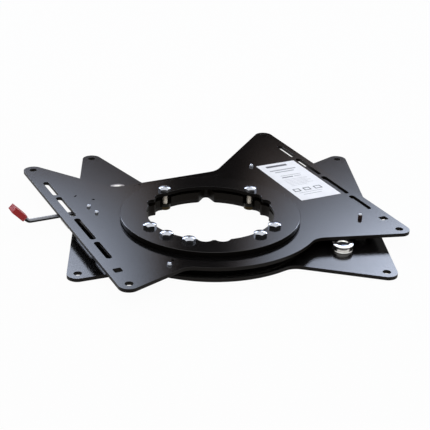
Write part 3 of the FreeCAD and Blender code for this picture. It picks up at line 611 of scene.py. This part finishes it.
def add_bar(bm, left, right, low, high, ink):
    verts = bmesh.ops.create_cube(bm, size=1.0)["verts"]
    bmesh.ops.scale(bm, vec=(right - left, high - low, PRINT_DEPTH), verts=verts)
    bmesh.ops.translate(bm, vec=((left + right) / 2, (low + high) / 2, 0), verts=verts)
    for face in {face for vert in verts for face in vert.link_faces}:
        face.material_index = ink


def add_frame(bm, left, right, low, high, line):
    add_bar(bm, left, left + line, low, high, DARK)
    add_bar(bm, right - line, right, low, high, DARK)
    add_bar(bm, left + line, right - line, low, low + line, DARK)
    add_bar(bm, left + line, right - line, high - line, high, DARK)


bm = bmesh.new()
for bar in BARS:
    add_bar(bm, *bar)
for box in FRAMES:
    add_frame(bm, *box, FRAME_LINE)
bmesh.ops.translate(bm, vec=FILM_CORNER, verts=bm.verts)
bmesh.ops.rotate(bm, cent=(0, 0, 0), matrix=Matrix.Rotation(SEAT_TURN, 3, "Z"), verts=bm.verts)
bmesh.ops.scale(bm, vec=(0.001, 0.001, 0.001), verts=bm.verts)
bmesh.ops.recalc_face_normals(bm, faces=bm.faces)
label_print = finish_mesh(bm, "label_print", (pale_ink, dark_ink), "seat", smooth=False)
print("label print:", len(label_print.data.polygons), "faces")

# %% [markdown]
# ## Carried-over nodes
# The other solids keep their CAD meshes. Their triangles need no rework: flat faces shade flat,
# and turned ones are fine enough to look round, so each one only gets its finish in its material
# slot.

# %% Finishes on CAD nodes
def dress(material, *names):
    for name in names:
        mesh = nodes[name].data
        mesh.materials.clear()
        mesh.materials.append(material)
    print(material.name, "on", ", ".join(names))


dress(hub_coat, "hub_ring")
dress(edge_and_rod_shade_coat, "support_ring")
dress(pale_plastic, "lower_slide_ring", "bearing_bush")
dress(ring_edge_coat, "upper_slide_ring")
dress(dark_plastic, "pivot_bush")
dress(bright_zinc, "press_nuts", "front_stud_screw", "rear_stud_screw")
dress(sheet_zinc, "hold_down_catch", "catch_spacer")
dress(spring_steel, "return_spring")
dress(film, "label")

# %% [markdown]
# ## Floor
# The object lies on a plain white floor. The floor shows the camera, and any metal that mirrors
# it, a white that is mostly its own glow, so it stays pale and still takes a faint shadow. To all
# other rays it is a plain matt surface of a middle grey, so that little light comes back up from
# below.

# %% The floor
SEEN_BY = ("Is Camera Ray", "Is Glossy Ray", "Is Transmission Ray")
FLOOR_GREY = 0.50
FLOOR_GLOW = 0.965
FLOOR_HALF, FLOOR_DROP = 6.0, 0.0001


def seen_directly(tree):
    """1 for a camera, glossy or transmission ray, else 0."""
    path = tree.nodes.new("ShaderNodeLightPath")
    total = None
    for name in SEEN_BY:
        most = tree.nodes.new("ShaderNodeMath")
        most.operation = "MAXIMUM"
        join(tree, path, name, most, 0)
        if total:
            join(tree, total, "Value", most, 1)
        total = most
    return total


def floor_material():
    material, tree, shader = new_material("studio floor")
    shader.inputs["Base Color"].default_value = (FLOOR_GREY, FLOOR_GREY, FLOOR_GREY, 1)
    shader.inputs["Roughness"].default_value = 0.9
    glow = add(tree, "ShaderNodeEmission", Color=(1, 1, 1, 1), Strength=1.0)
    share = tree.nodes.new("ShaderNodeMath")
    share.operation = "MULTIPLY"
    share.inputs[1].default_value = FLOOR_GLOW
    join(tree, seen_directly(tree), "Value", share, 0)
    mix_shaders(tree, share, shader, glow)
    return material


def staged(bm, name, material):
    """Turns a bmesh into a floor or backdrop, which isn't part of the object."""
    mesh = bpy.data.meshes.new(name)
    bm.to_mesh(mesh)
    bm.free()
    mesh.materials.append(material)
    item = bpy.data.objects.new(name, mesh)
    bpy.context.scene.collection.objects.link(item)
    return item


bm = bmesh.new()
bmesh.ops.create_grid(bm, x_segments=1, y_segments=1, size=FLOOR_HALF)
bmesh.ops.translate(bm, vec=(0, 0, -FLOOR_DROP), verts=bm.verts)
floor = staged(bm, "floor", floor_material())
print("floor at z", round(floor.data.vertices[0].co.z, 4))

# %% [markdown]
# ## The diffuser behind the object
# Satin black shows little but what it mirrors, so the light is built from that. A camera 25
# degrees up sees in the plates a low strip of the studio behind them. In the photograph that
# strip is a diffuser lit from both ends: bright left and right, dark in its middle, and dark low
# down, which gives each arm its slope from brown-black to pale blue-grey. One sheet with a glow
# that depends on its own Object coordinates does this: the distance from the dark middle times a
# smooth rise with height.

# %% The diffuser's glow
DARK_MIDDLE_X, DARK_HALF_WIDTH = 0.130, 0.122
GLOW_STARTS, GLOW_FULL = 0.667, 2.0
GLOW_GAIN, GLOW_LEAST, GLOW_MOST = 25.6, 0.012, 12.0
WARM, COOL = (1.30, 1.00, 0.84), (0.86, 0.95, 1.16)
SHEET_WIDTH, SHEET_HEIGHT = 5.2, 1.6
SHEET_MIDDLE = (0.1, 2.2, 0.8)


def math_step(tree, operation, source, output, number=0.0):
    """One Math node: a socket first, a plain number second."""
    node = tree.nodes.new("ShaderNodeMath")
    node.operation = operation
    node.inputs[1].default_value = number
    join(tree, source, output, node, 0)
    return node


def glowing_sheet(name):
    material, tree, shader = new_material(name)
    tree.nodes.remove(shader)
    place = tree.nodes.new("ShaderNodeTexCoord")
    axes = tree.nodes.new("ShaderNodeSeparateXYZ")
    join(tree, place, "Object", axes, "Vector")
    off = math_step(tree, "SUBTRACT", axes, "X", DARK_MIDDLE_X)
    away = math_step(tree, "ABSOLUTE", off, "Value")
    past = math_step(tree, "SUBTRACT", away, "Value", DARK_HALF_WIDTH)
    side = math_step(tree, "MAXIMUM", past, "Value")
    rise = add(tree, "ShaderNodeMapRange", From_Min=GLOW_STARTS, From_Max=GLOW_FULL)
    rise.interpolation_type = "SMOOTHSTEP"
    join(tree, axes, "Z", rise, "Value")
    both = math_step(tree, "MULTIPLY", rise, "Result")
    join(tree, side, "Value", both, 1)
    scaled = math_step(tree, "MULTIPLY", both, "Value", GLOW_GAIN)
    lifted = math_step(tree, "ADD", scaled, "Value", GLOW_LEAST)
    capped = math_step(tree, "MINIMUM", lifted, "Value", GLOW_MOST)
    share = math_step(tree, "MINIMUM", lifted, "Value", 1.0)
    glow = tree.nodes.new("ShaderNodeEmission")
    join(tree, mix_colours(tree, share, "Value", WARM, COOL), MIX_RESULT, glow, "Color")
    join(tree, capped, "Value", glow, "Strength")
    join(tree, glow, "Emission", tree.nodes["Material Output"], "Surface")
    return material


bm = bmesh.new()
bmesh.ops.create_grid(bm, x_segments=1, y_segments=1, size=0.5)
bmesh.ops.scale(bm, vec=(SHEET_WIDTH, SHEET_HEIGHT, 1), verts=bm.verts)
bmesh.ops.rotate(bm, cent=(0, 0, 0), matrix=Matrix.Rotation(math.radians(90), 3, "X"),
                 verts=bm.verts)
bmesh.ops.translate(bm, vec=SHEET_MIDDLE, verts=bm.verts)
diffuser = staged(bm, "diffuser", glowing_sheet("lit diffuser"))
diffuser.visible_camera = False
print("diffuser from", [round(v, 2) for v in diffuser.bound_box[0]])

# %% [markdown]
# ## Lamps and sky
# A soft panel overhead and a smaller one in front give the bolts their bright tops and the grip
# its colour. Together with the diffuser and the sky they add up to a plain level, at which the
# white film of the label renders about as white as it is written.

# %% The lamps and the sky
SKY_LIGHT, SKY_SEEN = 0.20, 1.0


def panel(name, at, size, power):
    """A rectangular lamp that faces the object's middle."""
    data = bpy.data.lights.new(name, "AREA")
    data.shape = "RECTANGLE"
    data.size, data.size_y = size
    data.energy = power
    lamp = bpy.data.objects.new(name, data)
    lamp.location = at
    lamp.rotation_mode = "QUATERNION"
    lamp.rotation_quaternion = (-Vector(at)).to_track_quat("-Z", "Y")
    bpy.context.scene.collection.objects.link(lamp)


panel("overhead softbox", (0.2, 0.2, 2.2), (3.2, 3.2), 14)
panel("front softbox", (-0.6, -1.7, 2.7), (1.8, 1.2), 6)

world = bpy.data.worlds.new("studio")
bpy.context.scene.world = world
world.use_nodes = True
sky = world.node_tree
background = sky.nodes["Background"]
background.inputs["Color"].default_value = (1, 1, 1, 1)
level = add(sky, "ShaderNodeMapRange", To_Min=SKY_LIGHT, To_Max=SKY_SEEN)
join(sky, seen_directly(sky), "Value", level, "Value")
join(sky, level, "Result", background, "Strength")
bpy.context.scene.view_settings.view_transform = "Standard"
